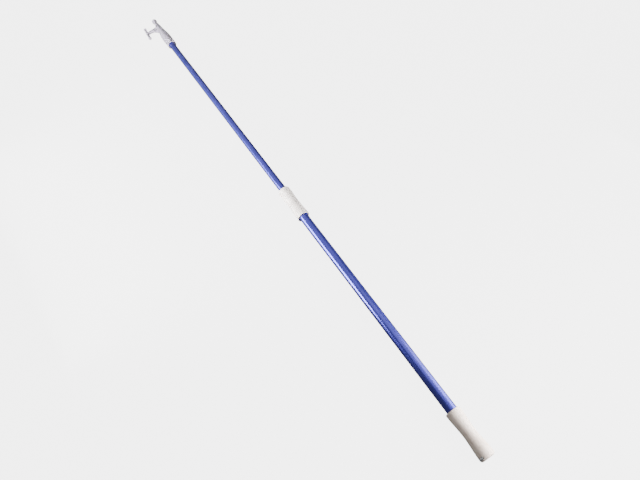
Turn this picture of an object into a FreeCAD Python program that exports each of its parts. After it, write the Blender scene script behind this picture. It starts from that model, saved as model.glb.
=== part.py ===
"""Telescopic hook pole: two aluminium tubes, a twist lock, a butt grip and a moulded hook head.

Millimetres. The pole lies along +Y with the hook end at +Y and +Z up. The origin is the centre
of the butt grip's flat end, so the pole's axis is the Y axis.
"""
import FreeCAD, Part
import math
import os

os.makedirs("parts", exist_ok=True)

# Driving dimensions.
POLE_LENGTH = 1830.0
OUTER_TUBE_R = 12.5
INNER_TUBE_R = 10.5
TUBE_WALL = 1.2
FLARE_R = 17.4
SLIP = 0.05
RUNNING = 0.08
CLEAR = 0.4

# Stations along the pole, from the butt face.
GRIP_LENGTH = 108.0
COLLAR_START = 710.0
COLLAR_LENGTH = 110.0
HEAD_LENGTH = 188.0
COLLAR_END = COLLAR_START + COLLAR_LENGTH
MOUTH_Y = POLE_LENGTH - HEAD_LENGTH

# Butt grip.
GRIP_WAIST_R = 14.6
GRIP_END_WALL = 14.0
GRIP_ROUND = 5.5
RIM_ROUND = 1.5
MOUTH_RING_R = 14.2
SLOT_Y = 6.0
SLOT_WIDTH = 5.0
SLOT_LENGTH = 15.0
SLOT_TILT = 18.0

# Tubes.
OUTER_BORE_R = OUTER_TUBE_R - TUBE_WALL
INNER_BORE_R = INNER_TUBE_R - TUBE_WALL
OUTER_TUBE_END = 775.0
INNER_TUBE_START = 730.0
SOCKET_DEPTH = 44.5
INNER_TUBE_END = MOUTH_Y + SOCKET_DEPTH

# Twist lock.
COLLAR_WAIST_R = 15.7
COLLAR_ROUND = 4.5
SKIRT_R = 14.9
NUT_R = 14.5
THREAD_R = 13.5
FERRULE_START = 733.0
NUT_START = 727.0
NUT_SHOULDER = 808.0
NUT_END = 815.0
BUSH_FLANGE = 2.0
COLLET_FOOT_R = 13.2
COLLET_FOOT = 6.0
COLLET_END = 805.0
COLLET_TAPER = (12.4, 11.7)
COLLET_SLOTS = 6
COLLET_SLIT = 2.0
RING_START = 789.0
RIVET_Y = 750.0
RIVET_R = 1.6

# Sliding guide at the bottom of the upper tube.
JOURNAL_R = 9.8
GUIDE_LENGTH = 13.5
PLUG_FLANGE_R = 10.9
PIN_R = 1.25

# Hook head, measured back from the centre of its ball tip.
BALL_R = 9.0
BALL_Y = POLE_LENGTH - BALL_R
HEAD_R = 16.0
HEAD_MOUTH_R = 15.5
ARM_BACK = 45.0
ARM_REACH = 48.6
ARM_R = 5.4
BAR_HALF = 31.3
BAR_TILT = 4.0
BAR_R = 4.3
FRONT_KNOB_R = 4.9
REAR_KNOB_R = 5.6
REAR_KNOB_REACH = ARM_REACH + BAR_HALF * math.sin(math.radians(BAR_TILT))
ARM_DROOP = math.degrees(math.asin((FLARE_R - REAR_KNOB_R) / REAR_KNOB_REACH))

# Snap button that holds the head.
BUTTON_Y = MOUTH_Y + 17.0
BUTTON_R = 3.4
BUTTON_ANGLE = 49.0
BUTTON_TOP = 14.7
SPRING_BEND_R = 7.0
SPRING_STRIP = 0.6
SPRING_WIDTH = 7.0

ORIGIN = FreeCAD.Vector(0, 0, 0)
X_AXIS = FreeCAD.Vector(1, 0, 0)
Y_AXIS = FreeCAD.Vector(0, 1, 0)
Z_AXIS = FreeCAD.Vector(0, 0, 1)


def at(radius, y):
    """A point of a turned piece's outline: so far out from the axis, so far up the pole."""
    return FreeCAD.Vector(radius, y, 0)


def line(a, b):
    return Part.LineSegment(at(*a), at(*b)).toShape()


def arc(a, middle, b):
    return Part.Arc(at(*a), at(*middle), at(*b)).toShape()


def corner_arc(a, b, centre):
    """The quarter turn from a to b round centre."""
    radius = math.dist(a, centre)
    lean = ((a[0] + b[0]) / 2 - centre[0], (a[1] + b[1]) / 2 - centre[1])
    reach = radius / math.hypot(*lean)
    return arc(a, (centre[0] + lean[0] * reach, centre[1] + lean[1] * reach), b)


def turn(edges):
    """Revolve a closed outline about the pole's axis."""
    return Part.Face(Part.Wire(edges)).revolve(ORIGIN, Y_AXIS, 360)


def turned(*points):
    """A turned solid with a straight-sided outline."""
    ends = points[1:] + points[:1]
    return turn([line(a, b) for a, b in zip(points, ends)])


def rod(radius, start, end, direction=Y_AXIS):
    """A round bar about a line through the origin, between two distances along it."""
    return Part.makeCylinder(radius, end - start, direction * start, direction)


def ring(outer, inner, start, end):
    return rod(outer, start, end).cut(rod(inner, start, end))


def cross_rod(radius, y, start, end, direction):
    """A round bar across the pole, at a station along it."""
    return Part.makeCylinder(radius, end - start, Y_AXIS * y + direction * start, direction)


def about_pole(shape, degrees):
    """A copy turned about the pole's axis, by the right-hand rule."""
    copy = shape.copy()
    copy.rotate(ORIGIN, Y_AXIS, degrees)
    return copy


def hourglass(start, end, waist_r, start_round, end_round, inside):
    """A grip's outline: flared rounded ends, an arc for the waist, and the inside given as points."""
    low = start + start_round
    high = end - end_round
    low_r = FLARE_R - start_round
    high_r = FLARE_R - end_round
    edges = [
        line(inside[0], (low_r, start)),
        corner_arc((low_r, start), (FLARE_R, low), (low_r, low)),
        arc((FLARE_R, low), (waist_r, (start + end) / 2), (FLARE_R, high)),
        corner_arc((FLARE_R, high), (high_r, end), (high_r, high)),
        line((high_r, end), inside[-1]),
    ]
    back = inside[::-1]
    edges += [line(a, b) for a, b in zip(back, back[1:])]
    return turn(edges)


def lanyard_slot():
    """The obround bar that cuts the slot across the grip's closed end."""
    half = SLOT_LENGTH / 2 - SLOT_WIDTH / 2
    reach = FLARE_R + 2
    bar = Part.makeBox(2 * reach, SLOT_WIDTH, 2 * half)
    bar.translate(FreeCAD.Vector(-reach, SLOT_Y - SLOT_WIDTH / 2, -half))
    for side in (-half, half):
        start = FreeCAD.Vector(-reach, SLOT_Y, side)
        bar = bar.fuse(Part.makeCylinder(SLOT_WIDTH / 2, 2 * reach, start, X_AXIS))
    return about_pole(bar.removeSplitter(), SLOT_TILT)


def butt_grip():
    bore = OUTER_TUBE_R + SLIP
    inside = [
        (0, 0),
        (0, GRIP_END_WALL),
        (bore, GRIP_END_WALL),
        (bore, GRIP_LENGTH - 4.0),
        (MOUTH_RING_R - 0.6, GRIP_LENGTH - 2.5),
        (MOUTH_RING_R, GRIP_LENGTH),
    ]
    body = hourglass(0, GRIP_LENGTH, GRIP_WAIST_R, GRIP_ROUND, RIM_ROUND, inside)
    return body.cut(lanyard_slot())


def butt_plug():
    start = GRIP_END_WALL + CLEAR
    flange = rod(OUTER_TUBE_R - 0.2, start, start + 1.5)
    return flange.fuse(rod(OUTER_BORE_R - SLIP, start, start + 8)).removeSplitter()


def lower_tube():
    start = GRIP_END_WALL + CLEAR + 1.5
    tube = ring(OUTER_TUBE_R, OUTER_BORE_R, start, OUTER_TUBE_END)
    return tube.cut(rivet_holes())


def rivet_holes():
    reach = OUTER_TUBE_R + 4
    return cross_rod(RIVET_R + SLIP, RIVET_Y, -reach, reach, Z_AXIS)


def lower_float():
    start = GRIP_END_WALL + 11
    return rod(OUTER_BORE_R - 0.3, start, start + 70)


def threaded_ferrule():
    """The sleeve riveted over the lower tube's end. Its outside carries the collar's thread."""
    sleeve = ring(THREAD_R, OUTER_TUBE_R + SLIP, FERRULE_START, OUTER_TUBE_END)
    sleeve = sleeve.cut(rivet_holes())
    for side in (-1, 1):
        base = FreeCAD.Vector(0, RIVET_Y, side * (THREAD_R - 1.4))
        sleeve = sleeve.cut(Part.makeCone(RIVET_R - 0.3, RIVET_R + 1.4, 1.7, base, Z_AXIS * side))
    return sleeve


def mouth_bush():
    """The plastic liner in the lower tube's mouth. Its bottom end stops the guide ring."""
    bore = INNER_TUBE_R + RUNNING
    start = INNER_TUBE_START - 0.1
    liner = ring(OUTER_BORE_R - SLIP, bore, start, OUTER_TUBE_END)
    flange = ring(OUTER_TUBE_R - 0.1, bore, OUTER_TUBE_END, OUTER_TUBE_END + BUSH_FLANGE)
    return liner.fuse(flange).removeSplitter().cut(rivet_holes())


def ferrule_rivets():
    rivets = []
    for side in (-1, 1):
        out = Z_AXIS * side
        base = FreeCAD.Vector(0, RIVET_Y, side * (THREAD_R - 1.05))
        shank = cross_rod(RIVET_R, RIVET_Y, INNER_TUBE_R + 0.35, THREAD_R - 0.45, out)
        head = Part.makeCone(RIVET_R, RIVET_R + 0.55, 0.6, base, out)
        rivets.append(shank.fuse(head).removeSplitter())
    return Part.makeCompound(rivets)


def split_collet():
    """The slotted taper that the compression ring squeezes onto the upper tube."""
    bore = INNER_TUBE_R + RUNNING
    start = OUTER_TUBE_END + BUSH_FLANGE + 0.05
    foot = start + COLLET_FOOT
    wide, narrow = COLLET_TAPER
    body = turned((bore, start), (COLLET_FOOT_R, start), (COLLET_FOOT_R, foot),
                  (wide, foot + 1), (narrow, COLLET_END), (bore, COLLET_END))
    slit = Part.makeBox(COLLET_SLIT, COLLET_END, 20)
    slit.translate(FreeCAD.Vector(-COLLET_SLIT / 2, start - 1, 0))
    body = body.cut(slit)
    for number in range(1, COLLET_SLOTS):
        slot = Part.makeBox(1.2, COLLET_END, 20)
        slot.translate(FreeCAD.Vector(-0.6, foot + 2, 0))
        body = body.cut(about_pole(slot, 360 * number / COLLET_SLOTS))
    return body


def compression_ring():
    """The tapered ring pushed down by the collar. Its key runs in the collet's slit."""
    foot = OUTER_TUBE_END + BUSH_FLANGE + 0.05 + COLLET_FOOT + 1
    wide, narrow = COLLET_TAPER
    slope = (narrow - wide) / (COLLET_END - foot)
    end = NUT_SHOULDER - 0.1
    low_r = wide + slope * (RING_START - foot) + CLEAR
    high_r = wide + slope * (end - foot) + CLEAR
    body = turned((low_r, RING_START), (THREAD_R, RING_START), (THREAD_R, end), (high_r, end))
    key = Part.makeBox(1.2, end - RING_START, low_r - 10.9 + 0.3)
    key.translate(FreeCAD.Vector(-0.6, RING_START, 10.9))
    return body.fuse(key).removeSplitter()


def collar_nut():
    bore = THREAD_R + RUNNING
    passage = INNER_TUBE_R + 0.7
    return turned((bore, NUT_START), (NUT_R, NUT_START), (NUT_R, NUT_END),
                  (passage, NUT_END), (passage, NUT_SHOULDER), (bore, NUT_SHOULDER))


def collar_grip():
    seat = NUT_R + SLIP
    lip = INNER_TUBE_R + 1.0
    inside = [
        (SKIRT_R, COLLAR_START),
        (SKIRT_R, NUT_START - 2),
        (seat, NUT_START - 1.5),
        (seat, NUT_END + SLIP),
        (lip, NUT_END + SLIP),
        (lip, COLLAR_END),
    ]
    return hourglass(COLLAR_START, COLLAR_END, COLLAR_WAIST_R, RIM_ROUND, COLLAR_ROUND, inside)


def guide_ring():
    start = INNER_TUBE_START - CLEAR - GUIDE_LENGTH
    return ring(OUTER_BORE_R - RUNNING, JOURNAL_R + RUNNING, start, start + GUIDE_LENGTH - 0.1)


def pin_hole(extra):
    reach = INNER_TUBE_R + 2
    return cross_rod(PIN_R + extra, INNER_TUBE_START + 12, -reach, reach, Z_AXIS)


def end_plug():
    """The upper tube's bottom plug: a flange and a journal for the guide ring."""
    flange_top = INNER_TUBE_START - 2 * CLEAR - GUIDE_LENGTH
    flange = rod(PLUG_FLANGE_R, flange_top - 3.5, flange_top)
    journal = rod(JOURNAL_R, flange_top - 1, INNER_TUBE_START)
    spigot = rod(INNER_BORE_R - SLIP, INNER_TUBE_START - 1, INNER_TUBE_START + 20)
    return flange.fuse([journal, spigot]).removeSplitter().cut(pin_hole(SLIP))


def end_plug_pin():
    reach = INNER_TUBE_R - 0.3
    return cross_rod(PIN_R, INNER_TUBE_START + 12, -reach, reach, Z_AXIS)


def button_bar(radius, start, end):
    """A round bar on the snap button's line, which leans from +Z towards the hook's arm."""
    bar = cross_rod(radius, BUTTON_Y, start, end, Z_AXIS)
    return about_pole(bar, -BUTTON_ANGLE)


def upper_tube():
    tube = ring(INNER_TUBE_R, INNER_BORE_R, INNER_TUBE_START, INNER_TUBE_END)
    return tube.cut(pin_hole(SLIP)).cut(button_bar(BUTTON_R + RUNNING, 0, HEAD_R + 4))


def upper_float():
    return rod(INNER_BORE_R - 0.3, INNER_TUBE_END - 220, INNER_TUBE_END - 100)


def top_plug():
    body = rod(INNER_BORE_R - SLIP, INNER_TUBE_END - 14, INNER_TUBE_END)
    return body.fuse(rod(INNER_TUBE_R - 0.2, INNER_TUBE_END, INNER_TUBE_END + 1.5)).removeSplitter()


def snap_button():
    """A domed pin through the tube and the socket, with a flange that stays inside the tube."""
    dome_r = 6.5
    top = BUTTON_TOP
    flange_top = math.sqrt(INNER_BORE_R ** 2 - (BUTTON_R + 0.9) ** 2) - 0.25
    pin = cross_rod(BUTTON_R, BUTTON_Y, flange_top - 1.0, top, Z_AXIS)
    pin = pin.common(Part.makeSphere(dome_r, FreeCAD.Vector(0, BUTTON_Y, top - dome_r)).fuse(
        cross_rod(BUTTON_R, BUTTON_Y, 0, top - dome_r, Z_AXIS)))
    flange = cross_rod(BUTTON_R + 0.9, BUTTON_Y, flange_top - 1.0, flange_top, Z_AXIS)
    return about_pole(pin.fuse(flange).removeSplitter(), -BUTTON_ANGLE)


def button_spring():
    """A bent strip inside the tube. Its upper leg holds the snap button out."""
    outer = SPRING_BEND_R + SPRING_STRIP / 2
    inner = outer - SPRING_STRIP
    leg = 32.0
    bend_y = BUTTON_Y - leg + 6
    across = FreeCAD.Vector(-SPRING_WIDTH / 2, bend_y, 0)
    bend = Part.makeCylinder(outer, SPRING_WIDTH, across, X_AXIS)
    bend = bend.cut(Part.makeCylinder(inner, SPRING_WIDTH, across, X_AXIS))
    half = Part.makeBox(SPRING_WIDTH, outer, 2 * outer)
    half.translate(FreeCAD.Vector(-SPRING_WIDTH / 2, bend_y - outer, -outer))
    strip = bend.common(half)
    for side in (inner, -outer):
        box = Part.makeBox(SPRING_WIDTH, leg, SPRING_STRIP)
        box.translate(FreeCAD.Vector(-SPRING_WIDTH / 2, bend_y, side))
        strip = strip.fuse(box)
    strip = strip.removeSplitter()
    strip.translate(Z_AXIS * -0.8)
    return about_pole(strip, -BUTTON_ANGLE)


def head_body():
    """The ball, neck, swelling body and socket, turned as one outline."""
    def back(radius, distance):
        return (radius, BALL_Y - distance)

    neck = 5.9
    neck_r = math.sqrt(BALL_R ** 2 - neck ** 2)
    full = 128.0
    swell = [(neck_r, neck), (5.95, 12.0), (6.9, 21.0), (8.0, 31.0), (9.6, 51.0),
             (11.2, 71.0), (13.2, 91.0), (15.2, 109.0), (HEAD_R, full)]
    curve = Part.BSplineCurve()
    curve.interpolate(Points=[at(*back(*p)) for p in swell],
                      InitialTangent=at(-0.655, -0.755), FinalTangent=at(0, -1))
    socket = INNER_TUBE_R + SLIP
    rim = 1.4
    mouth_r = HEAD_MOUTH_R
    floor = INNER_TUBE_END + 2
    return turn([
        line((0, floor), (0, POLE_LENGTH)),
        arc((0, POLE_LENGTH), (BALL_R, BALL_Y), back(neck_r, neck)),
        curve.toShape(),
        line(back(HEAD_R, full), (mouth_r, MOUTH_Y + rim)),
        corner_arc((mouth_r, MOUTH_Y + rim), (mouth_r - rim, MOUTH_Y),
                   (mouth_r - rim, MOUTH_Y + rim)),
        line((mouth_r - rim, MOUTH_Y), (12.2, MOUTH_Y)),
        line((12.2, MOUTH_Y), (socket, MOUTH_Y + 3)),
        line((socket, MOUTH_Y + 3), (socket, floor)),
        line((socket, floor), (0, floor)),
    ])


def oval(out, first, last, half_height):
    """An oval section of the arm, so far out from the axis, between two distances back."""
    centre = FreeCAD.Vector(-out, BALL_Y - (first + last) / 2, 0)
    long_end = centre + Y_AXIS * ((last - first) / 2)
    side = centre + Z_AXIS * half_height
    return Part.Wire([Part.Ellipse(long_end, side, centre).toShape()])


def head_arm():
    """The arm flares into the body, further on its rear side."""
    near = ARM_BACK - ARM_R
    far = ARM_BACK + ARM_R
    sections = [
        oval(3.0, near - 8, 82.0, 5.4),
        oval(10.0, near - 3, 68.0, 5.8),
        oval(17.0, near - 0.8, 57.5, 5.6),
        oval(26.0, near, far + 2.0, 5.4),
        oval(37.0, near, far, 5.2),
        oval(ARM_REACH, near + 0.4, far - 0.4, 4.9),
    ]
    return Part.makeLoft(sections, True, False)


def head_bar():
    """The crossbar, tilted a little from the pole, with a knob at each end."""
    middle = BALL_Y - ARM_BACK
    front = middle + BAR_HALF
    rear = middle - BAR_HALF
    rear_r = REAR_KNOB_R * 0.8
    front_r = FRONT_KNOB_R * 0.9
    bar = turned((0, rear), (rear_r, rear + 2), (BAR_R, middle), (front_r, front - 1), (0, front))
    bar = bar.fuse([Part.makeSphere(FRONT_KNOB_R, Y_AXIS * front),
                    Part.makeSphere(REAR_KNOB_R, Y_AXIS * rear)])
    bar.rotate(Y_AXIS * middle, Z_AXIS, -BAR_TILT)
    bar.translate(X_AXIS * -ARM_REACH)
    return bar


def button_dish():
    """The dish in the head round the button, for a fingertip."""
    start = FreeCAD.Vector(0, BUTTON_Y, BUTTON_TOP - 0.7)
    dish = Part.makeCone(BUTTON_R + 0.3, BUTTON_R + 3.8, 3.5, start, Z_AXIS)
    return about_pole(dish, -BUTTON_ANGLE)


def hook_head():
    side = about_pole(head_arm().fuse(head_bar()), -ARM_DROOP)
    head = head_body().fuse(side).removeSplitter()
    socket = rod(INNER_TUBE_R + SLIP, MOUTH_Y - 1, INNER_TUBE_END + 2)
    head = head.cut(socket).cut(button_bar(BUTTON_R + 0.3, 0, HEAD_R + 4))
    return head.cut(button_dish())


NODES = [
    lower_tube, butt_grip, butt_plug, lower_float, threaded_ferrule, mouth_bush, ferrule_rivets,
    split_collet, compression_ring, collar_nut, collar_grip, guide_ring, end_plug, end_plug_pin,
    upper_tube, upper_float, top_plug, snap_button, button_spring, hook_head,
]

for make in NODES:
    shape = make()
    box = shape.optimalBoundingBox()
    print(f"{make.__name__:18} solids {len(shape.Solids)} valid {shape.isValid()} "
          f"volume {shape.Volume:10.1f} y {box.YMin:.1f}..{box.YMax:.1f}")
    shape.exportStep(f"parts/{make.__name__}.step")
print(f"arm droop {ARM_DROOP:.2f} degrees")
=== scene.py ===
# %% [markdown]
# # A telescopic hook pole
# The pole is two blue anodised tubes, one sliding in the other, with a moulded hook head at the
# far end, a twist-lock collar in the middle and a grip at the butt.

# %% Load the frame
import math

import bmesh
import bpy
import numpy as np
from mathutils import Matrix, Vector


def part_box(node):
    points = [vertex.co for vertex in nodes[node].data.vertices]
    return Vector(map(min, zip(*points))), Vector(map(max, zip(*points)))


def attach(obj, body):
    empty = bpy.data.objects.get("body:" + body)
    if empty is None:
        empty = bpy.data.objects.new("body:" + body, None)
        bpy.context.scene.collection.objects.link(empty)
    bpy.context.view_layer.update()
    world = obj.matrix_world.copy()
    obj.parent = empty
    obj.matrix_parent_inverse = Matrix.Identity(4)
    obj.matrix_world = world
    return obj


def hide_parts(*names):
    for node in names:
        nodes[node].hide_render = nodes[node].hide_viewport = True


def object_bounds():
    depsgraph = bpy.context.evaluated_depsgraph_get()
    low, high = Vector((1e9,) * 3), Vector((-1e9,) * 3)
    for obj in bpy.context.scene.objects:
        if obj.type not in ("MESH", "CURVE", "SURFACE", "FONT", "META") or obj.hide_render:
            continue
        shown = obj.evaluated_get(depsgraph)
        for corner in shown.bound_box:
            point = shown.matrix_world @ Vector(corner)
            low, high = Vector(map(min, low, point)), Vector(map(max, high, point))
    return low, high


MM = 0.001
FIT_ROOM = 0.05
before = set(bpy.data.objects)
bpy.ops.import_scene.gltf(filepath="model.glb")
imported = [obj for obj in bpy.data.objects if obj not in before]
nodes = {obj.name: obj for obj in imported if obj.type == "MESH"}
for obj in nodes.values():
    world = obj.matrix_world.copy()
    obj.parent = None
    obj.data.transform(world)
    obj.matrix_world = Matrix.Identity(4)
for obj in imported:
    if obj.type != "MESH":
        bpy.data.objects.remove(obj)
cad_low, cad_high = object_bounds()
print("nodes", len(nodes), "length mm", round((cad_high.y - cad_low.y) / MM))

# %% [markdown]
# ## Camera
# The camera stands a metre above the butt and looks down along the pole, so the grip is large
# and the hook is small. A camera with no tilt would need only two angles. This one also has a
# slight roll, as a hand-held one has.

# %% Camera
CAMERA_PLACE = Vector((-0.385, -0.014, 1.040))
HEADING = math.radians(30.95)
LOOK_DOWN = math.radians(54.49)
ROLL = math.radians(-0.98)
LENS = 27.82


def make_camera():
    """A camera that heads to the right of +Y, looks down, and rolls about its own view."""
    data = bpy.data.cameras.new("camera")
    data.lens = LENS
    data.dof.use_dof = False
    camera = bpy.data.objects.new("camera", data)
    bpy.context.scene.collection.objects.link(camera)
    turn = Matrix.Rotation(-HEADING, 4, "Z") @ Matrix.Rotation(math.pi / 2 - LOOK_DOWN, 4, "X")
    camera.matrix_world = Matrix.Translation(CAMERA_PLACE) @ turn @ Matrix.Rotation(ROLL, 4, "Z")
    bpy.context.scene.camera = camera
    return camera


camera = make_camera()
print("camera", tuple(round(c, 3) for c in camera.location))

# %% [markdown]
# ## Colours and nodes
# Paint charts and screens give colours as sRGB hex values, but the renderer adds and multiplies
# light, so it needs linear values. One function converts them. A second adds any node, with its
# settings and links, so that each material below reads as a list of its layers.


# %% Colour and node helpers
def linear(hex_colour):
    """A linear RGBA colour from an sRGB hex value such as #4b5aa0."""
    channels = [int(hex_colour[i:i + 2], 16) / 255 for i in (1, 3, 5)]
    low = [c / 12.92 for c in channels]
    high = [((c + 0.055) / 1.055) ** 2.4 for c in channels]
    return tuple(lo if c <= 0.04045 else hi for c, lo, hi in zip(channels, low, high)) + (1.0,)


def add(tree, kind, inputs=None, **settings):
    """Add a node. Inputs are values or other nodes' sockets, by the input's name or number."""
    node = tree.nodes.new(kind)
    for name, value in settings.items():
        setattr(node, name, value)
    for name, value in (inputs or {}).items():
        if isinstance(value, bpy.types.NodeSocket):
            tree.links.new(value, node.inputs[name])
        else:
            node.inputs[name].default_value = value
    return node


def start_material(name):
    """An empty node material with its output and the object's own coordinates."""
    material = bpy.data.materials.new(name)
    material.use_nodes = True
    tree = material.node_tree
    tree.nodes.clear()
    output = add(tree, "ShaderNodeOutputMaterial")
    place = add(tree, "ShaderNodeTexCoord").outputs["Object"]
    return material, tree, output, place


def per_metre(size_mm):
    """The scale of a pattern whose features are so many millimetres apart."""
    return 1 / (size_mm * MM)


print("dyed blue", [round(c, 3) for c in linear("#4e4cb4")[:3]])

# %% [markdown]
# ## Anodised aluminium
# The tubes are drawn through a die, brushed lightly and dyed blue in the anodising bath. Drawing
# leaves fine lines along the tube, so a highlight stays sharp across the tube and soft along it.
# The dye sits in a clear oxide layer, so the gloss on top is nearly white and the metal below
# tints what it reflects. A metallic base with a thin clear coat gives both.


# %% Anodised aluminium
# Real drawing lines are a few hundredths of a millimetre apart. These are coarser, to show.
DRAWING_LINES_MM = 0.9
LINE_DEPTH_MM = 0.02
ALONG_POLE = 0.02
DYE_CLOUDS_MM = 60


def anodised_aluminium(name, blue, pale, dark):
    """Dyed metal under a clear coat, with lines along the pole and faint clouds in the dye."""
    material, tree, output, place = start_material(name)
    stretch = add(tree, "ShaderNodeMapping", {"Vector": place, "Scale": (1.0, ALONG_POLE, 1.0)})
    lines = add(tree, "ShaderNodeTexNoise", {
        "Vector": stretch.outputs[0], "Scale": per_metre(DRAWING_LINES_MM), "Detail": 3.0})
    clouds = add(tree, "ShaderNodeTexNoise", {
        "Vector": place, "Scale": per_metre(DYE_CLOUDS_MM), "Detail": 2.0})
    tint = add(tree, "ShaderNodeValToRGB", {"Fac": clouds.outputs[0]})
    tint.color_ramp.elements[0].position = 0.35
    tint.color_ramp.elements[0].color = linear(dark)
    tint.color_ramp.elements[1].position = 0.65
    tint.color_ramp.elements[1].color = linear(blue)
    streak = add(tree, "ShaderNodeMapRange", {
        "Value": lines.outputs[0], "From Min": 0.62, "From Max": 0.8, "To Max": 0.35})
    base = add(tree, "ShaderNodeMix", {
        0: streak.outputs[0], 6: tint.outputs[0], 7: linear(pale)}, data_type="RGBA")
    rough = add(tree, "ShaderNodeMapRange", {
        "Value": lines.outputs[0], "From Min": 0.3, "From Max": 0.7,
        "To Min": 0.24, "To Max": 0.36})
    bump = add(tree, "ShaderNodeBump", {
        "Height": lines.outputs[0], "Strength": 0.12, "Distance": LINE_DEPTH_MM * MM})
    shader = add(tree, "ShaderNodeBsdfPrincipled", {
        "Base Color": base.outputs[2], "Metallic": 0.85, "Roughness": rough.outputs[0],
        "Coat Weight": 0.35, "Coat Roughness": 0.12, "Normal": bump.outputs[0]})
    tree.links.new(shader.outputs[0], output.inputs[0])
    return material


anodised = anodised_aluminium("anodised_aluminium_blue", "#4e4cb4", "#8088e0", "#4646a6")
print("made", anodised.name)

# %% [markdown]
# ## Moulded plastics
# The two grips are off-white moulded PVC with the fine sparked texture of their mould. The head
# is unfilled nylon: greyer, a little translucent, and a little glossier where hands and ropes
# rub it. Both get a fine grain, faint flow marks and handling dirt, which keep a white plastic
# from looking like plaster. The same recipe, with their own colour, grain and gloss, serves the
# plastics and the foam inside the pole.


# %% Moulded plastics
FLOW_MARKS_MM = 28
DIRT_PATCHES_MM = 7
# A mould's real grain is near 0.1 mm. The grain given for each plastic is coarser, to show.
GRAIN_DEPTH_MM = 0.06
GLOW_DEPTH_MM = 1.5


def moulded_plastic(name, colour, grime, grain_mm, gloss, glow=0.0, wear=0.5):
    """A moulded plastic: colour with flow marks and grime, a grained surface, soft gloss."""
    material, tree, output, place = start_material(name)
    flow = add(tree, "ShaderNodeTexNoise", {
        "Vector": place, "Scale": per_metre(FLOW_MARKS_MM), "Detail": 4.0, "Distortion": 0.6})
    dirt = add(tree, "ShaderNodeTexNoise", {
        "Vector": place, "Scale": per_metre(DIRT_PATCHES_MM), "Detail": 6.0, "Roughness": 0.65})
    amount = add(tree, "ShaderNodeMath", {0: flow.outputs[0], 1: dirt.outputs[0]},
                 operation="MULTIPLY")
    share = add(tree, "ShaderNodeMapRange", {
        "Value": amount.outputs[0], "From Min": 0.2, "From Max": 0.42, "To Max": wear})
    base = add(tree, "ShaderNodeMix", {
        0: share.outputs[0], 6: linear(colour), 7: linear(grime)}, data_type="RGBA")
    grain = add(tree, "ShaderNodeTexVoronoi", {"Vector": place, "Scale": per_metre(grain_mm)})
    rough = add(tree, "ShaderNodeMapRange", {
        "Value": dirt.outputs[0], "From Min": 0.3, "From Max": 0.7,
        "To Min": gloss - 0.06, "To Max": gloss + 0.1})
    bump = add(tree, "ShaderNodeBump", {
        "Height": grain.outputs[0], "Strength": 0.25, "Distance": GRAIN_DEPTH_MM * MM})
    shader = add(tree, "ShaderNodeBsdfPrincipled", {
        "Base Color": base.outputs[2], "Roughness": rough.outputs[0], "IOR": 1.5,
        "Subsurface Weight": glow, "Subsurface Radius": (0.9, 0.9, 1.0),
        "Subsurface Scale": GLOW_DEPTH_MM * MM, "Normal": bump.outputs[0]})
    tree.links.new(shader.outputs[0], output.inputs[0])
    return material


grip_pvc = moulded_plastic("moulded_pvc_off_white", "#f0dfd2", "#c4ab9a", 0.8, 0.55)
collar_pvc = moulded_plastic("moulded_pvc_white", "#f1e8e3", "#cabcb1", 0.8, 0.5)
head_nylon = moulded_plastic("moulded_nylon_grey_white", "#b5adb9", "#938b97", 0.6, 0.42, 0.15)
black_abs = moulded_plastic("moulded_abs_black", "#1d1d20", "#2c2c30", 0.6, 0.5)
glass_nylon = moulded_plastic("glass_filled_nylon_grey", "#55575c", "#44464a", 0.4, 0.5)
acetal = moulded_plastic("machined_acetal_white", "#dcdcd6", "#c4c4bd", 0.5, 0.35, 0.1)
foam = moulded_plastic("closed_cell_foam_cream", "#e4e0d2", "#cfc9b8", 1.2, 0.85)
print("plastics", grip_pvc.name, head_nylon.name, foam.name)

# %% [markdown]
# ## Stainless steel
# The snap button, the pin, the rivets and the spring are stainless steel: the button is
# turned and tumbled, the strip is rolled. Both read as a grey metal with a fine uneven gloss.


# %% Stainless steel
# Real scuffs are finer. These show on parts that are a few millimetres across.
SCUFFS_MM = 0.7
SCUFF_DEPTH_MM = 0.02
SCUFFED_GREY = "#6d6d6c"


def stainless_steel(name, colour, roughness):
    """A grey metal whose tone and gloss vary together with its scuffs."""
    material, tree, output, place = start_material(name)
    scuffs = add(tree, "ShaderNodeTexNoise", {
        "Vector": place, "Scale": per_metre(SCUFFS_MM), "Detail": 5.0})
    rough = add(tree, "ShaderNodeMapRange", {
        "Value": scuffs.outputs[0], "From Min": 0.3, "From Max": 0.7,
        "To Min": roughness - 0.08, "To Max": roughness + 0.12})
    tone = add(tree, "ShaderNodeMapRange", {
        "Value": scuffs.outputs[0], "From Min": 0.4, "From Max": 0.8, "To Max": 0.4})
    base = add(tree, "ShaderNodeMix", {
        0: tone.outputs[0], 6: linear(colour), 7: linear(SCUFFED_GREY)}, data_type="RGBA")
    bump = add(tree, "ShaderNodeBump", {
        "Height": scuffs.outputs[0], "Strength": 0.15, "Distance": SCUFF_DEPTH_MM * MM})
    shader = add(tree, "ShaderNodeBsdfPrincipled", {
        "Base Color": base.outputs[2], "Metallic": 1.0, "Roughness": rough.outputs[0],
        "Normal": bump.outputs[0]})
    tree.links.new(shader.outputs[0], output.inputs[0])
    return material


tumbled_steel = stainless_steel("stainless_steel_tumbled", "#b4b4b1", 0.3)
spring_steel = stainless_steel("spring_steel_rolled", "#8d8d8b", 0.38)
print("metals", tumbled_steel.name, spring_steel.name)

# %% [markdown]
# ## Turned shapes
# Both grips, and the tubes, are round about the pole's axis. In the workshop such a shape is
# turned, and its drawing is half a section: an outline of radius against distance. The same rule
# makes the mesh. A geometry-node tree takes the outline's points, lays a grid with one column for
# each point, and wraps the grid once round the axis. A change to the outline changes the whole
# piece, and the tree serves every turned piece.


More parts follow.
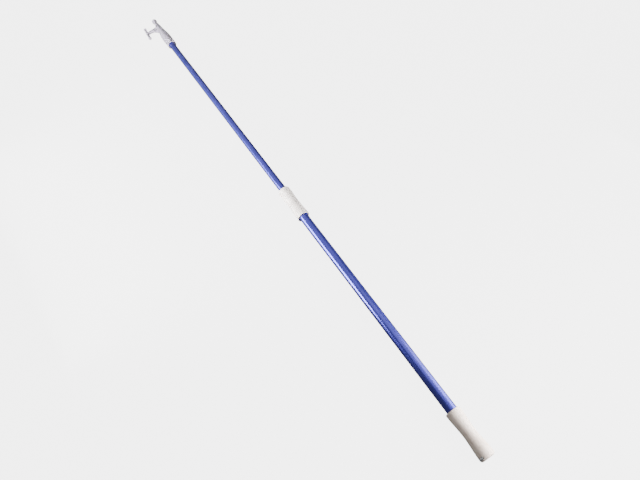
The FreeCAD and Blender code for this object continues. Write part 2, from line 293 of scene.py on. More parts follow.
# %% The turning tree
def turning_tree():
    """Wraps an outline (x is the radius, y the distance along the pole) round the pole's axis."""
    tree = bpy.data.node_groups.new("turned_about_pole", "GeometryNodeTree")
    sockets = tree.interface
    sockets.new_socket("Outline", in_out="INPUT", socket_type="NodeSocketGeometry")
    sockets.new_socket("Facets", in_out="INPUT", socket_type="NodeSocketInt")
    sockets.new_socket("Finish", in_out="INPUT", socket_type="NodeSocketMaterial")
    sockets.new_socket("Piece", in_out="OUTPUT", socket_type="NodeSocketGeometry")
    given = add(tree, "NodeGroupInput").outputs
    points = add(tree, "GeometryNodeAttributeDomainSize", {0: given["Outline"]}).outputs[0]
    columns = add(tree, "ShaderNodeMath", {0: given["Facets"], 1: 1.0}, operation="ADD")
    grid = add(tree, "GeometryNodeMeshGrid", {
        "Size X": 1.0, "Size Y": 1.0, "Vertices X": columns.outputs[0], "Vertices Y": points})
    spot = add(tree, "GeometryNodeInputPosition").outputs[0]
    apart = add(tree, "ShaderNodeSeparateXYZ", {0: spot}).outputs
    angle = add(tree, "ShaderNodeMath", {0: apart[0], 1: 2 * math.pi}, operation="MULTIPLY")
    last = add(tree, "ShaderNodeMath", {0: points, 1: 1.0}, operation="SUBTRACT")
    up = add(tree, "ShaderNodeMath", {0: apart[1], 1: 0.5}, operation="ADD")
    row = add(tree, "ShaderNodeMath", {0: up.outputs[0], 1: last.outputs[0]},
              operation="MULTIPLY")
    whole = add(tree, "ShaderNodeMath", {0: row.outputs[0]}, operation="ROUND")
    outline = add(tree, "GeometryNodeSampleIndex", {
        "Geometry": given["Outline"], "Value": spot, "Index": whole.outputs[0]},
        data_type="FLOAT_VECTOR")
    half = add(tree, "ShaderNodeSeparateXYZ", {0: outline.outputs[0]}).outputs
    sine = add(tree, "ShaderNodeMath", {0: angle.outputs[0]}, operation="SINE")
    cosine = add(tree, "ShaderNodeMath", {0: angle.outputs[0]}, operation="COSINE")
    across = add(tree, "ShaderNodeMath", {0: half[0], 1: sine.outputs[0]}, operation="MULTIPLY")
    height = add(tree, "ShaderNodeMath", {0: half[0], 1: cosine.outputs[0]},
                 operation="MULTIPLY")
    wrapped = add(tree, "ShaderNodeCombineXYZ", {
        0: across.outputs[0], 1: half[1], 2: height.outputs[0]})
    moved = add(tree, "GeometryNodeSetPosition", {
        "Geometry": grid.outputs["Mesh"], "Position": wrapped.outputs[0]})
    merged = add(tree, "GeometryNodeMergeByDistance", {
        "Geometry": moved.outputs[0], "Distance": 0.001 * MM})
    real = add(tree, "GeometryNodeRealizeInstances", {"Geometry": merged.outputs[0]})
    finished = add(tree, "GeometryNodeSetMaterial", {
        "Geometry": real.outputs[0], "Material": given["Finish"]})
    add(tree, "NodeGroupOutput", {0: finished.outputs[0]})
    return tree


turning = turning_tree()
print("turning tree", len(turning.nodes), "nodes")


# %% [markdown]
# ## From modifiers to a plain mesh
# A boolean or a node tree is worked out live, but each piece is kept as a plain mesh. One
# helper turns a piece's modifiers into its mesh, and another merges doubled points and points
# every face outwards. A third cuts one closed shape out of another, as a mould's core does.

# %% Helpers that finish a mesh
DOUBLES_MM = 0.0005
SHARP_EDGE = math.radians(32)


def settle(piece):
    """Turn a piece with modifiers into a plain mesh."""
    graph = bpy.context.evaluated_depsgraph_get()
    mesh = bpy.data.meshes.new_from_object(piece.evaluated_get(graph))
    piece.modifiers.clear()
    old = piece.data
    piece.data = mesh
    mesh.name = piece.name
    bpy.data.meshes.remove(old)
    return piece


def outward(piece):
    """Merge doubles, point the faces outwards, and shade smooth except at real edges."""
    work = bmesh.new()
    work.from_mesh(piece.data)
    bmesh.ops.remove_doubles(work, verts=work.verts, dist=DOUBLES_MM * MM)
    bmesh.ops.dissolve_degenerate(work, edges=work.edges, dist=DOUBLES_MM * MM)
    bmesh.ops.recalc_face_normals(work, faces=work.faces)
    if work.calc_volume(signed=True) < 0:
        bmesh.ops.reverse_faces(work, faces=work.faces)
    volume = work.calc_volume(signed=True)
    work.to_mesh(piece.data)
    work.free()
    piece.data.shade_smooth()
    piece.data.set_sharp_from_angle(angle=SHARP_EDGE)
    return volume


def new_piece(name, points, edges=(), faces=()):
    """An object from lists in millimetres."""
    mesh = bpy.data.meshes.new(name)
    mesh.from_pydata([Vector(p) * MM for p in points], edges, faces)
    piece = bpy.data.objects.new(name, mesh)
    bpy.context.scene.collection.objects.link(piece)
    return piece


def turned(name, outline, finish, facets=128):
    """A turned piece from an outline of (radius, distance) points, in millimetres."""
    steps = [(i, i + 1) for i in range(len(outline) - 1)]
    piece = new_piece(name, [(r, y, 0) for r, y in outline], steps)
    modifier = piece.modifiers.new("turned", "NODES")
    modifier.node_group = turning
    names = {s.name: s.identifier for s in turning.interface.items_tree if s.in_out == "INPUT"}
    modifier[names["Facets"]] = facets
    modifier[names["Finish"]] = finish
    settle(piece)
    volume = outward(piece)
    print(name, "faces", len(piece.data.polygons), "cm3", round(volume * 1e6, 1))
    return piece


def round_turn(centre, radius, first, last, steps=8):
    """Outline points on an arc, by its angles in degrees: 0 is outwards and 90 up the pole."""
    angles = [math.radians(first + (last - first) * i / steps) for i in range(steps + 1)]
    return [(centre[0] + radius * math.cos(a), centre[1] + radius * math.sin(a)) for a in angles]


def cut(piece, tool):
    """Take the tool's volume out of a piece."""
    modifier = piece.modifiers.new("cut", "BOOLEAN")
    modifier.operation = "DIFFERENCE"
    modifier.solver = "EXACT"
    modifier.object = tool
    settle(piece)
    bpy.data.objects.remove(tool)
    outward(piece)


print("helpers ready")

# %% [markdown]
# ## The hourglass grips
# Both grips have the same side: full at each end, slim in the middle for the palm. The slope is
# zero at the waist and at each end, so the side is a cosine and not an arc, and there is no ridge
# where it meets the rounded ends.


# %% Hourglass side
def millimetres(node):
    """A node's lowest and highest corners, in millimetres."""
    low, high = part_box(node)
    return low / MM, high / MM


def hourglass_side(first, last, full, waist, steps=40):
    """Outline points of the grip's side, from one full end to the other."""
    points = []
    for i in range(1, steps):
        share = i / steps
        slim = 0.5 - 0.5 * math.cos(2 * math.pi * share)
        points.append((full - (full - waist) * slim, first + (last - first) * share))
    return points


grip_low, grip_high = millimetres("butt_grip")
collar_low, collar_high = millimetres("collar_grip")
tube_radius = millimetres("lower_tube")[1].z
inner_radius = millimetres("upper_tube")[1].z
nut_radius = millimetres("collar_nut")[1].z
flare = grip_high.z
print("grip mm", round(grip_high.y - grip_low.y), "collar mm", round(collar_high.y - collar_low.y))

# %% [markdown]
# ## Butt grip
# The grip is a closed boot: its end is solid, with a slot across it for a lanyard. The end is
# flat inside a rounded rim, with the small dimple that the moulding gate leaves.

# %% Butt grip
GRIP_WAIST = 14.6
GRIP_END_ROUND = 5.5
RIM_ROUND = 1.5
END_WALL = 14.0
GATE_DIMPLE = 2.2
DIMPLE_DEPTH = 0.35
DIMPLE_SIDE = 0.5
GRIP_MOUTH = 14.6
MOUTH_ROUND = 0.4
FUNNEL_TOP = 14.0
FUNNEL_EDGE = 0.4
FUNNEL_DEPTHS = (2.2, 3.2, 4.0)
SLOT_TILT = math.radians(18)
SLOT_SIZE = (15.0, 5.0)
SLOT_DISTANCE = 6.0
SLOT_STEPS = 12
# How far inside the grip's side, and how much wider the slot is there.
SLOT_FLARE = ((-2.0, 1.5), (1.2, 0.55), (3.2, 0.0))


def butt_grip_outline():
    """Half a section of the butt grip, from the gate's dimple round to the bottom of its bore."""
    top = grip_high.y
    bore = tube_radius + FIT_ROOM
    points = [(0, DIMPLE_DEPTH), (GATE_DIMPLE - DIMPLE_SIDE, DIMPLE_DEPTH), (GATE_DIMPLE, 0.0)]
    points += round_turn((flare - GRIP_END_ROUND, GRIP_END_ROUND), GRIP_END_ROUND, -90, 0, 14)
    points += hourglass_side(GRIP_END_ROUND, top - RIM_ROUND, flare, GRIP_WAIST)
    points += round_turn((flare - RIM_ROUND, top - RIM_ROUND), RIM_ROUND, 0, 90)
    points += round_turn((GRIP_MOUTH, top - MOUTH_ROUND), MOUTH_ROUND, 90, 180, 4)
    for radius, depth in zip((FUNNEL_TOP, bore + FUNNEL_EDGE, bore), FUNNEL_DEPTHS):
        points.append((radius, top - depth))
    return points + [(bore, END_WALL), (0, END_WALL)]


def slot_cutter():
    """The obround bar of the lanyard slot. It widens at each mouth, as a moulded slot does."""
    length, width = SLOT_SIZE
    straight = length / 2 - width / 2
    ring = []
    for side, start in ((1, -90), (-1, 90)):
        for i in range(SLOT_STEPS + 1):
            a = math.radians(start + 180 * i / SLOT_STEPS)
            ring.append((side * straight + width / 2 * math.cos(a), width / 2 * math.sin(a)))
    stations = [(-flare + inside, grow) for inside, grow in SLOT_FLARE]
    stations += [(flare - inside, grow) for inside, grow in reversed(SLOT_FLARE)]
    points = []
    for out, grow in stations:
        for long_way, short_way in ring:
            reach = math.hypot(long_way, short_way)
            points.append((out, SLOT_DISTANCE + short_way * (1 + grow / reach),
                           long_way * (1 + grow / reach)))
    count = len(ring)
    faces = [tuple(range(count)), tuple(reversed(range(len(points) - count, len(points))))]
    for s in range(len(stations) - 1):
        for i in range(count):
            j = (i + 1) % count
            faces.append((s * count + i, s * count + j, (s + 1) * count + j, (s + 1) * count + i))
    tool = new_piece("slot_tool", points, (), faces)
    tool.data.transform(Matrix.Rotation(SLOT_TILT, 4, "Y"))
    outward(tool)
    return tool


butt_grip = turned("butt_grip_moulding", butt_grip_outline(), grip_pvc, 160)
cut(butt_grip, slot_cutter())
print("butt grip faces", len(butt_grip.data.polygons))

# %% [markdown]
# ## Collar grip
# The collar is the same hourglass with both ends open. A deep skirt hides the lock's sleeve at
# the bottom, and a thin lip closes on the slim tube at the top.

# %% Collar grip
COLLAR_WAIST = 15.7
COLLAR_END_ROUND = 4.5
SKIRT = 14.9
SKIRT_EDGE = 0.5
LIP_ROOM = 1.0
LIP_EDGE = 0.6
SEAT_EDGES = (1.5, 2.0)


def collar_outline():
    """Half a section of the collar, from the skirt's edge round the outside and back inside."""
    low, high = collar_low.y, collar_high.y
    seat = nut_radius + FIT_ROOM
    nut_low, nut_high = millimetres("collar_nut")
    lip = inner_radius + LIP_ROOM
    points = round_turn((SKIRT + SKIRT_EDGE, low + SKIRT_EDGE), SKIRT_EDGE, 180, 270, 4)
    points += round_turn((flare - RIM_ROUND, low + RIM_ROUND), RIM_ROUND, -90, 0)
    points += hourglass_side(low + RIM_ROUND, high - COLLAR_END_ROUND, flare, COLLAR_WAIST)
    points += round_turn((flare - COLLAR_END_ROUND, high - COLLAR_END_ROUND),
                         COLLAR_END_ROUND, 0, 90, 12)
    points += round_turn((lip + LIP_EDGE, high - LIP_EDGE), LIP_EDGE, 90, 180, 4)
    points += [(lip, nut_high.y + FIT_ROOM), (seat, nut_high.y + FIT_ROOM),
               (seat, nut_low.y - SEAT_EDGES[0]), (SKIRT, nut_low.y - SEAT_EDGES[1])]
    return points + points[:1]


collar_grip = turned("collar_grip_moulding", collar_outline(), collar_pvc, 160)

# %% [markdown]
# ## The hook head
# The head is one nylon moulding with no hard edge anywhere: ball, neck, tapering body, arm and
# crossbar all flow into each other. A solid like that is hard to build from faces and easy to
# state as a field: a formula that is zero on the surface. Each part has its own simple formula,
# and a smooth minimum blends them with a fillet. A coarse remesh of plain shapes gives the
# triangles, and each point then slides along the field's slope until it lies on the surface.

# %% Head sizes
head_low, head_high = millimetres("hook_head")
BALL = 9.0
BALL_AT = head_high.y - BALL
HEAD_LENGTH = BALL_AT - head_low.y
ARM_BACK = 45.0
REACH = 48.6
BAR_HALF = 31.3
BAR_TILT = math.radians(4.0)
KNOBS = (4.9, 5.6)
# A blend swells what it joins, so each knob starts smaller by this much and ends at its size.
KNOB_SWELL = 0.07
ARM_RADII = (5.9, 5.0)
WEB_RADII = (5.6, 3.6)
WEB_ROOT = (2, 74, 0)
WEB_TIP = (27, ARM_BACK + 2, 0)
FRONT_BAR_RADII = (4.2, 4.4)
REAR_BAR_RADII = (4.2, 4.6)
BAR_MIDDLE = (REACH, ARM_BACK, 0.0)
BAR_FRONT = (REACH - BAR_HALF * math.sin(BAR_TILT), ARM_BACK - BAR_HALF * math.cos(BAR_TILT), 0.0)
BAR_REAR = (REACH + BAR_HALF * math.sin(BAR_TILT), ARM_BACK + BAR_HALF * math.cos(BAR_TILT), 0.0)
DROOP = math.asin((-cad_low.z / MM - KNOBS[1]) / BAR_REAR[0])
BODY_STATIONS = [0.0, 8.0, 13.0, 21.0, 31.0, 51.0, 71.0, 91.0, 109.0, 128.0, 150.0, 179.0, 240.0]
BODY_RADII = [5.8, 5.85, 6.0, 6.9, 8.0, 9.6, 11.2, 13.2, 15.2, 16.0, 15.85, 15.5, 15.5]
print("head length mm", round(HEAD_LENGTH, 1), "droop", round(math.degrees(DROOP), 1))


# %% [markdown]
# ## The body's curve
# The body swells from the neck to the socket in one long S. Straight cones between its measured
# radii would show as bands in the gloss, and an ordinary spline can bulge past them. Hermite
# cubics with limited slopes pass through every radius, stay smooth and never overshoot.

# %% Smooth curve through the body's radii
def smooth_curve(x, xs, ys):
    """Values at x of a smooth curve through the points, with no overshoot (Hermite cubics)."""
    xs, ys = np.asarray(xs), np.asarray(ys)
    gaps = np.diff(xs)
    slopes = np.diff(ys) / gaps
    tangents = np.zeros_like(ys)
    same = slopes[1:] * slopes[:-1] > 0
    means = 2 * slopes[1:] * slopes[:-1] / np.where(same, slopes[1:] + slopes[:-1], 1.0)
    tangents[1:-1][same] = means[same]
    i = np.clip(np.searchsorted(xs, x) - 1, 0, len(gaps) - 1)
    t = np.clip((x - xs[i]) / gaps[i], 0, 1)
    ease = t * t * (3 - 2 * t)
    lead = t * (1 - t) ** 2 * gaps[i] * tangents[i]
    follow = t * t * (t - 1) * gaps[i] * tangents[i + 1]
    return ys[i] * (1 - ease) + ys[i + 1] * ease + lead + follow


print("radius at 100 mm", round(float(smooth_curve(100.0, BODY_STATIONS, BODY_RADII)), 2))


# %% [markdown]
# ## The formula of each part
# A ball is the distance from its centre, less its radius. A bar is the same from a line. The web
# is a second, lower bar that thickens the arm's root, where a pull on the hook bends it most.
# The knobs end the crossbar so that a rope can't slip off.

# %% The head's field
# The body's field is measured square to the axis, which is a little more than the distance.
SLANT = 0.99
BODY_START = -1.0
NECK_BLEND = 2.5
WEB_BLEND = 7.0
ARM_BLEND = 6.5
KNOB_BLENDS = (1.2, 1.6)
BAR_BLEND = 3.0
MOUTH_BLEND = 1.3


def smooth_min(a, b, blend):
    """The smaller of two fields, with a fillet of about the blend's size between them."""
    h = np.clip(0.5 + 0.5 * (b - a) / blend, 0, 1)
    return b * (1 - h) + a * h - blend * h * (1 - h)


def to_bar(p, a, b, radius_a, radius_b):
    """Distance from a round bar between two points, with a radius that changes evenly."""
    a, b = np.asarray(a, float), np.asarray(b, float)
    along = np.clip(((p - a) @ (b - a)) / ((b - a) @ (b - a)), 0, 1)
    nearest = a + along[:, None] * (b - a)
    return np.linalg.norm(p - nearest, axis=1) - (radius_a + (radius_b - radius_a) * along)


def head_field(p):
    """Zero on the head's outer surface. Points are (out along the arm, back from the ball, side)."""
    radius = np.hypot(p[:, 0], p[:, 2])
    body = (radius - smooth_curve(p[:, 1], BODY_STATIONS, BODY_RADII)) * SLANT
    ball = np.linalg.norm(p, axis=1) - BALL
    body = np.maximum(body, BODY_START - p[:, 1])
    solid = smooth_min(body, ball, NECK_BLEND)
    arm = to_bar(p, (0, ARM_BACK, 0), BAR_MIDDLE, *ARM_RADII)
    web = to_bar(p, WEB_ROOT, WEB_TIP, *WEB_RADII)
    solid = smooth_min(solid, smooth_min(arm, web, WEB_BLEND), ARM_BLEND)
    bar = np.minimum(to_bar(p, BAR_MIDDLE, BAR_FRONT, *FRONT_BAR_RADII),
                     to_bar(p, BAR_MIDDLE, BAR_REAR, *REAR_BAR_RADII))
    front_knob = np.linalg.norm(p - np.array(BAR_FRONT), axis=1) - (KNOBS[0] - KNOB_SWELL)
    rear_knob = np.linalg.norm(p - np.array(BAR_REAR), axis=1) - (KNOBS[1] - KNOB_SWELL)
    bar = smooth_min(bar, front_knob, KNOB_BLENDS[0])
    bar = smooth_min(bar, rear_knob, KNOB_BLENDS[1])
    solid = smooth_min(solid, bar, BAR_BLEND)
    return -smooth_min(-solid, -(p[:, 1] - HEAD_LENGTH), MOUTH_BLEND)


print("field at the ball tip", float(head_field(np.array([[0.0, -BALL, 0.0]]))[0]))


# %% [markdown]
# ## From the formula to a skin
# The plain shapes overlap, and a voxel remesh makes one closed skin of them. Sliding the points
# onto the field gives the exact surface, and relaxing them in between keeps the triangles even,
# which a smooth gloss needs. Marching cubes would give slivers.

# %% Grow the head on its field
VOXEL_MM = 0.85
CONE_OVERLAP = 0.2
# The rough shapes only have to lie near the field's surface.
ROUGH_ARM_RADII = (6.0, 5.2)
ROUGH_WEB_ROOT = (2, 72, 0)
ROUGH_WEB_RADII = (6.5, 4.8)
ROUGH_BAR_RADII = (4.4, 4.6)
FIELD_STEP = 0.05
LEAST_SLOPE = 0.2
LONGEST_MOVE = 1.5
EVENING_ROUNDS = 6


def add_ball(work, centre, radius):
    """An even ball of triangles."""
    bmesh.ops.create_icosphere(work, subdivisions=3, radius=radius,
                               matrix=Matrix.Translation(centre))


def add_bar(work, a, b, radius_a, radius_b):
    """A capped cone between two points."""
    a, b = Vector(a), Vector(b)
    turn = (b - a).to_track_quat("Z", "Y").to_matrix().to_4x4()
    bmesh.ops.create_cone(work, cap_ends=True, segments=32, radius1=radius_a, radius2=radius_b,
                          depth=(b - a).length,
                          matrix=Matrix.Translation((a + b) / 2) @ turn)


def rough_head():
    """Plain overlapping shapes near the head's surface, as one remeshed skin."""
    work = bmesh.new()
    add_ball(work, (0, 0, 0), BALL)
    stations = [s for s in BODY_STATIONS if s < HEAD_LENGTH] + [HEAD_LENGTH]
    radii = smooth_curve(np.array(stations), BODY_STATIONS, BODY_RADII)
    for i in range(len(stations) - 1):
        start = (0, stations[i] - CONE_OVERLAP, 0)
        add_bar(work, start, (0, stations[i + 1], 0), radii[i], radii[i + 1])
    add_bar(work, (0, ARM_BACK, 0), BAR_MIDDLE, *ROUGH_ARM_RADII)
    add_bar(work, ROUGH_WEB_ROOT, WEB_TIP, *ROUGH_WEB_RADII)
    add_bar(work, BAR_FRONT, BAR_REAR, *ROUGH_BAR_RADII)
    add_ball(work, BAR_FRONT, KNOBS[0])
    add_ball(work, BAR_REAR, KNOBS[1])
    mesh = bpy.data.meshes.new("moulded_hook_head")
    work.to_mesh(mesh)
    work.free()
    piece = bpy.data.objects.new("moulded_hook_head", mesh)
    bpy.context.scene.collection.objects.link(piece)
    remesh = piece.modifiers.new("skin", "REMESH")
    remesh.mode = "VOXEL"
    remesh.voxel_size = VOXEL_MM
    return settle(piece)


def slide_to_field(points, field, rounds):
    """Move points along the field's slope until they lie on its surface."""
    steps = FIELD_STEP * np.eye(3)
    for _ in range(rounds):
        value = field(points)
        slope = np.stack([
            (field(points + step) - field(points - step)) / (2 * FIELD_STEP)
            for step in steps], axis=1)
        steep = np.maximum((slope ** 2).sum(1), LEAST_SLOPE)
        move = np.clip(value / steep, -LONGEST_MOVE, LONGEST_MOVE)
        points = points - move[:, None] * slope
    return points


def relax(mesh, points):
    """Each point's neighbours' mean, which evens the mesh out."""
    ends = np.empty(len(mesh.edges) * 2, int)
    mesh.edges.foreach_get("vertices", ends)
    ends = ends.reshape(-1, 2)
    total = np.zeros_like(points)
    count = np.zeros(len(points))
    for a, b in ((0, 1), (1, 0)):
        np.add.at(total, ends[:, a], points[ends[:, b]])
        np.add.at(count, ends[:, a], 1)
    return total / count[:, None]


def make_head():
    """The head's skin, moved onto its field and then to its place on the pole."""
    piece = rough_head()
    mesh = piece.data
    points = np.empty(len(mesh.vertices) * 3)
    mesh.vertices.foreach_get("co", points)
    points = points.reshape(-1, 3)
    for _ in range(EVENING_ROUNDS):
        points = relax(mesh, slide_to_field(points, head_field, 4))
    points = slide_to_field(points, head_field, 10)
    print("largest miss mm", round(float(np.abs(head_field(points)).max()), 4))
    out = np.array([-math.cos(DROOP), 0, -math.sin(DROOP)])
    side = np.array([math.sin(DROOP), 0, -math.cos(DROOP)])
    placed = points[:, :1] * out + points[:, 2:] * side
    placed[:, 1] = BALL_AT - points[:, 1]
    mesh.vertices.foreach_set("co", (placed * MM).ravel())
    mesh.update()
    outward(piece)
    mesh.materials.append(head_nylon)
    return piece


head = make_head()
print("head faces", len(head.data.polygons))

# %% [markdown]
# ## The head's socket
# The socket is drilled after the skin is made, because its edges are crisp: a wide mouth, a
# chamfer down to the tube's size, and a cross hole for the snap button.

# %% Socket and button hole
button_low, button_high = millimetres("snap_button")
button_middle = (button_low + button_high) / 2
button_line = Vector((button_middle.x, 0, button_middle.z)).normalized()
BUTTON_HOLE = 3.7
MOUTH = 12.3
DISH_FLOOR = 14.0
DISH_DEPTH = 3.5
SOCKET_FACETS = 96
SOCKET_FLOOR_ROOM = 0.5
CHAMFER_DEPTH = 3
# How far past the mouth's radius, and how deep in the socket.
MOUTH_EDGE = ((0.6, -1.0), (0.3, 0.0), (0.0, 0.4), (-0.3, 1.4))
# The button's holes are drilled from inside the tube's wall to outside the head.
DRILL_REACH = (4, 20)


def button_point(out):
    """A point on the button's own line, so far out from the pole's axis."""
    return Vector((0, button_middle.y, 0)) + button_line * out


def button_bar(radius):
    """A round bar on the button's line, for drilling its hole."""
    inner, outer = DRILL_REACH
    return button_point(inner), button_point(outer), radius, radius


def bar_tool(name, bars):
    """A cutter made of capped cones, each given by its ends and its radii in millimetres."""
    work = bmesh.new()
    for start, end, radius_a, radius_b in bars:
        add_bar(work, start, end, radius_a, radius_b)
    mesh = bpy.data.meshes.new(name)
    work.to_mesh(mesh)
    work.free()
    mesh.transform(Matrix.Scale(MM, 4))
    tool = bpy.data.objects.new(name, mesh)
    bpy.context.scene.collection.objects.link(tool)
    outward(tool)
    return tool


def drill_socket():
    """The stepped socket for the tube, then the button's hole with a dish for the fingertip."""
    bore = inner_radius + FIT_ROOM
    mouth = head_low.y
    end = millimetres("top_plug")[1].y + SOCKET_FLOOR_ROOM
    outline = [(0, mouth + MOUTH_EDGE[0][1])]
    outline += [(MOUTH + out, mouth + depth) for out, depth in MOUTH_EDGE]
    outline += [(bore, mouth + CHAMFER_DEPTH), (bore, end), (0, end)]
    cut(head, turned("socket_tool", outline, head_nylon, SOCKET_FACETS))
    dish = (button_point(DISH_FLOOR), button_point(DISH_FLOOR + DISH_DEPTH),
            BUTTON_HOLE, BUTTON_HOLE + DISH_DEPTH)
    cut(head, bar_tool("button_hole_tool", [button_bar(BUTTON_HOLE), dish]))


drill_socket()
print("head faces after drilling", len(head.data.polygons))

# %% [markdown]
# ## Tubes
# A drawn tube is perfectly round, and its long clean highlight is what the eye reads as metal,
# so each tube gets more facets than the engineered model needs, and a small chamfer at each cut
# end.

# %% Tubes
TUBE_WALL = 1.2
CUT_END_EASE = 0.25
TUBE_FACETS = 96


def tube(name, node, wall, finish):
    """A drawn tube in the engineered node's place, with its cut ends eased."""
    low, high = millimetres(node)
    radius = high.z
    ease = CUT_END_EASE
    outline = [(radius - wall, low.y + ease), (radius - wall + ease, low.y), (radius - ease, low.y),
               (radius, low.y + ease), (radius, high.y - ease), (radius - ease, high.y),
               (radius - wall + ease, high.y), (radius - wall, high.y - ease)]
    return turned(name, outline + outline[:1], finish, TUBE_FACETS)


lower_tube = tube("lower_tube_drawn", "lower_tube", TUBE_WALL, anodised)
upper_tube = tube("upper_tube_drawn", "upper_tube", TUBE_WALL, anodised)
print("wall mm", TUBE_WALL)

# %% [markdown]
# ## Holes across the tubes
# The tubes are drilled after they are cut to length. The lower one has a hole in each wall for
# its two rivets, and the upper one has a pair for the plug's pin. The snap button's hole goes
# through one wall only, on the button's own line. It can be seen when the button is pressed.

# %% Holes across the tubes
TUBE_BUTTON_HOLE = 3.48
RIVET_SHANK = 1.6
RIVET_REACH = 16
PIN_REACH = 13


def cross_bar(node, reach, radius):
    """A bar straight up through the pole at a node's station."""
    low, high = millimetres(node)
    station = (low.y + high.y) / 2
    return Vector((0, station, -reach)), Vector((0, station, reach)), radius, radius


pin_low, pin_high = millimetres("end_plug_pin")
pin_radius = (pin_high.x - pin_low.x) / 2
rivet_bar = cross_bar("ferrule_rivets", RIVET_REACH, RIVET_SHANK + FIT_ROOM)
pin_bar = cross_bar("end_plug_pin", PIN_REACH, pin_radius + FIT_ROOM)
cut(lower_tube, bar_tool("rivet_tool", [rivet_bar]))
cut(upper_tube, bar_tool("pin_tool", [pin_bar]))
cut(upper_tube, bar_tool("button_tool", [button_bar(TUBE_BUTTON_HOLE)]))
print("tube faces", len(lower_tube.data.polygons), len(upper_tube.data.polygons))

# %% [markdown]
# ## Join the pieces to the frame
# Each new piece rides on the body it belongs to, and the engineered node it stands for is hidden.

# %% Ride and replace
PLACES = [
    (butt_grip, "lower_section", "butt_grip", "grip_white"),
    (lower_tube, "lower_section", "lower_tube", "anodised_blue"),
    (collar_grip, "lock_collar", "collar_grip", "collar_white"),
    (upper_tube, "upper_section", "upper_tube", "anodised_blue"),
    (head, "upper_section", "hook_head", "head_nylon"),
]
for piece, body, node, slot in PLACES:
    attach(piece, body)
    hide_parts(node)
print("pieces", [p[0].name for p in PLACES])

# %% [markdown]
# ## Finishes for the engineered nodes
# The rest of the nodes keep their own shape and get a finish for what they are made of.

# %% Node finishes
FINISHES = {
    "butt_plug": black_abs, "top_plug": black_abs, "end_plug": black_abs,
    "threaded_ferrule": glass_nylon, "collar_nut": glass_nylon,
    "split_collet": acetal, "compression_ring": acetal, "mouth_bush": acetal,
    "guide_ring": acetal,
    "ferrule_rivets": tumbled_steel, "end_plug_pin": tumbled_steel, "snap_button": tumbled_steel,
    "button_spring": spring_steel,
    "lower_float": foam, "upper_float": foam,
}
for name, finish in FINISHES.items():
    for holder in nodes[name].material_slots:
        holder.material = finish
print("finished", len(FINISHES), "nodes")

# %% [markdown]
# ## Floor and light
# The floor is white paper on a light table, so it stays pale and takes no hard shadow. The pole
# neither reflects it nor gets light from it, which keeps a dark line along both edges of a tube.
# The paper stands up as a wall far behind the pole, so a low view has a white background too.


# %% Floor
# The stage's sizes are in metres.
FLOOR_GLOW = 5.0
FLOOR_HALF = 30.0
WALL_RADIUS = 28.0
WALL_HEIGHT = 14.0
WALL_SIDES = 96


def paper():
    """White paper on a light table: nearly all of its brightness is its own."""
    material, tree, output, _ = start_material("matt_white_paper")
    shader = add(tree, "ShaderNodeBsdfPrincipled", {
        "Base Color": linear("#555555"), "Roughness": 0.9, "Specular IOR Level": 0.0,
        "Emission Color": linear("#ffffff"), "Emission Strength": FLOOR_GLOW})
    tree.links.new(shader.outputs[0], output.inputs[0])
    return material


def stage_sheet(name, corners, faces, finish):
    """A sheet that only the camera sees. The pole neither reflects it nor gets light from it."""
    mesh = bpy.data.meshes.new(name)
    mesh.from_pydata(corners, [], faces)
    mesh.materials.append(finish)
    sheet = bpy.data.objects.new(name, mesh)
    bpy.context.scene.collection.objects.link(sheet)
    sheet.visible_diffuse = False
    sheet.visible_glossy = False
    return sheet


def make_floor(finish):
    """A flat square under the pole, at the height that the pole rests on."""
    middle = (cad_low + cad_high) / 2
    corners = [(middle.x + x * FLOOR_HALF, middle.y + y * FLOOR_HALF, cad_low.z)
               for x, y in ((-1, -1), (1, -1), (1, 1), (-1, 1))]
    return stage_sheet("floor", corners, [(0, 1, 2, 3)], finish)


def make_backdrop(finish):
    """A round wall far behind the pole, so that a low view ends in white and not in the dark."""
    middle = (cad_low + cad_high) / 2
    corners = []
    for height in (0.0, WALL_HEIGHT):
        for i in range(WALL_SIDES):
            a = 2 * math.pi * i / WALL_SIDES
            corners.append((middle.x + WALL_RADIUS * math.cos(a),
                            middle.y + WALL_RADIUS * math.sin(a), cad_low.z + height))
    faces = []
    for i in range(WALL_SIDES):
        j = (i + 1) % WALL_SIDES
        faces.append((j, i, i + WALL_SIDES, j + WALL_SIDES))
    wall = stage_sheet("backdrop", corners, faces, finish)
    wall.visible_shadow = False
    return wall


white_paper = paper()
sheets = [make_floor(white_paper), make_backdrop(white_paper)]
print("sheets", [sheet.name for sheet in sheets], "floor at mm", round(cad_low.z / MM, 1))

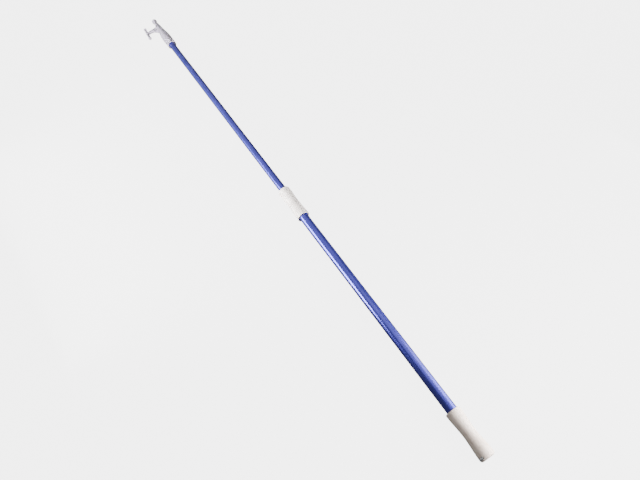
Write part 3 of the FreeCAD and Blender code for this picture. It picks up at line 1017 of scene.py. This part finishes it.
# %% [markdown]
# ## Soft boxes
# A shiny tube shows each soft box as a streak, so the boxes' places decide where the streaks
# lie. The butt key and the butt streak light the grip and the tube above it from the right. The
# left box lights the rest of the lower tube and the collar from the left, so the streak changes
# sides partway up. The head box is far off and narrow, and gives the small head some shape. The
# far box is weak and cool, beyond the hook on the left, and gives the upper tube its left edge.
# The top and near boxes are weak and overhead.

# %% Soft boxes
def soft_box(name, place, target, size, brightness, spread, tint="#ffffff"):
    """An area light of a given brightness, whatever its size, with a grid that narrows it."""
    data = bpy.data.lights.new(name, "AREA")
    data.shape = "RECTANGLE"
    data.size, data.size_y = size
    data.energy = brightness * math.pi * size[0] * size[1]
    data.spread = math.radians(spread)
    data.color = linear(tint)[:3]
    lamp = bpy.data.objects.new(name, data)
    lamp.visible_camera = False
    bpy.context.scene.collection.objects.link(lamp)
    away = (Vector(place) - Vector(target)).normalized()
    across = Vector((0, 1, 0)).cross(away).normalized()
    along = away.cross(across)
    lamp.matrix_world = Matrix.Translation(place) @ Matrix((across, along, away)).transposed().to_4x4()
    return lamp


ROOM_GLOW = 0.2
world = bpy.data.worlds.new("studio")
world.use_nodes = True
world.node_tree.nodes["Background"].inputs[0].default_value = (1.0, 1.0, 1.0, 1.0)
world.node_tree.nodes["Background"].inputs[1].default_value = ROOM_GLOW
bpy.context.scene.world = world
boxes = [
    soft_box("top_box", (0.0, 3.0, 2.4), (0.0, 1.9, 0), (4.2, 3.2), 0.5, 150),
    soft_box("near_box", (0.1, 0.85, 2.4), (0.1, 0.6, 0), (2.4, 1.1), 0.9, 150),
    soft_box("butt_key", (0.76, -0.22, 0.42), (0, 0.03, 0), (0.9, 0.72), 12.5, 100),
    soft_box("butt_streak", (0.76, 0.33, 0.44), (0, 0.15, 0), (1.0, 0.36), 4.5, 180),
    soft_box("left_box", (-0.7, 1.02, 0.14), (0, 1.1, 0), (0.26, 0.8), 25.0, 100),
    soft_box("far_box", (-1.3, 2.6, 0.4), (0, 2.2, 0), (0.8, 2.4), 1.0, 110, "#d8f2ff"),
    soft_box("head_box", (-1.6, 0.2, 0.9), (0, 1.76, 0), (0.5, 0.5), 2.5, 20, "#f4eeff"),
]
print("lights", [box.name for box in boxes])
